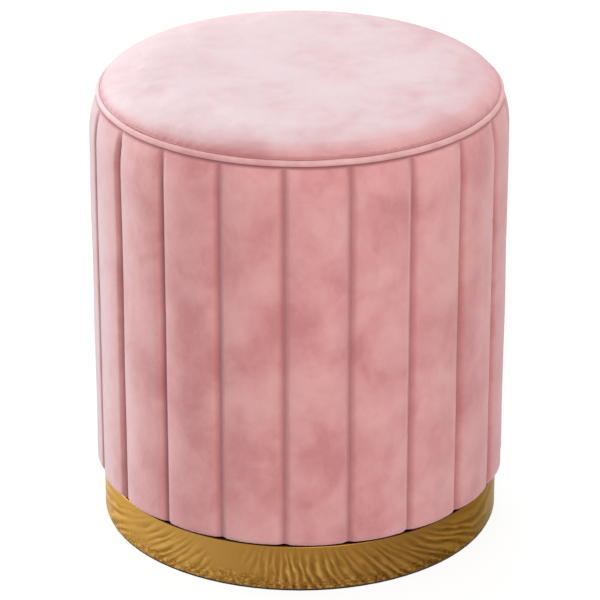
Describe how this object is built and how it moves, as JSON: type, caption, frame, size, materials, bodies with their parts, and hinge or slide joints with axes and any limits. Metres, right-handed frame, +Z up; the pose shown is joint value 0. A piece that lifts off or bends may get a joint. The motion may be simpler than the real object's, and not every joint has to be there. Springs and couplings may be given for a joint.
{
  "type": "ottoman",
  "caption": "Round velvet pouf with a crowned, piped seat and a vertically channelled side, standing on a low polished metal band.",
  "frame": {"origin": "on the floor, on the drum's axis", "axes": "+Z up along the drum's axis; -Y towards the viewer of the picture, through a seam between two channels; +X to the viewer's right"},
  "size_m": [0.3578, 0.3578, 0.412],
  "materials": {
    "velvet": "matte",
    "gold_metal": "polished",
    "black_rubber": "matte",
    "fastener_steel": "satin",
    "black_cloth": "matte",
    "plywood": "matte",
    "hardboard": "satin",
    "soft_filling": "matte",
    "backing": "matte"
  },
  "bodies": {
    "root": {"floor_ring": "black_rubber", "base_band": "gold_metal", "base_screws": "fastener_steel", "dust_cover": "black_cloth", "base_staples": "fastener_steel", "bottom_board": "plywood", "middle_ring": "plywood", "seat_board": "plywood", "drum_panel": "hardboard", "side_foam": "soft_filling", "backing_cloth": "backing", "seat_foam": "soft_filling", "seat_wadding": "soft_filling", "seat_cover": "velvet", "piping": "velvet", "frame_batten_01": "plywood", "frame_batten_02": "plywood", "frame_batten_03": "plywood", "frame_batten_04": "plywood", "channel_filling_01": "soft_filling", "channel_filling_02": "soft_filling", "channel_filling_03": "soft_filling", "channel_filling_04": "soft_filling", "channel_filling_05": "soft_filling", "channel_filling_06": "soft_filling", "channel_filling_07": "soft_filling", "channel_filling_08": "soft_filling", "channel_filling_09": "soft_filling", "channel_filling_10": "soft_filling", "channel_filling_11": "soft_filling", "channel_filling_12": "soft_filling", "channel_filling_13": "soft_filling", "channel_filling_14": "soft_filling", "channel_filling_15": "soft_filling", "channel_filling_16": "soft_filling", "channel_filling_17": "soft_filling", "channel_filling_18": "soft_filling", "channel_filling_19": "soft_filling", "channel_filling_20": "soft_filling", "channel_panel_01": "velvet", "channel_panel_02": "velvet", "channel_panel_03": "velvet", "channel_panel_04": "velvet", "channel_panel_05": "velvet", "channel_panel_06": "velvet", "channel_panel_07": "velvet", "channel_panel_08": "velvet", "channel_panel_09": "velvet", "channel_panel_10": "velvet", "channel_panel_11": "velvet", "channel_panel_12": "velvet", "channel_panel_13": "velvet", "channel_panel_14": "velvet", "channel_panel_15": "velvet", "channel_panel_16": "velvet", "channel_panel_17": "velvet", "channel_panel_18": "velvet", "channel_panel_19": "velvet", "channel_panel_20": "velvet"}
  },
  "joints": []
}
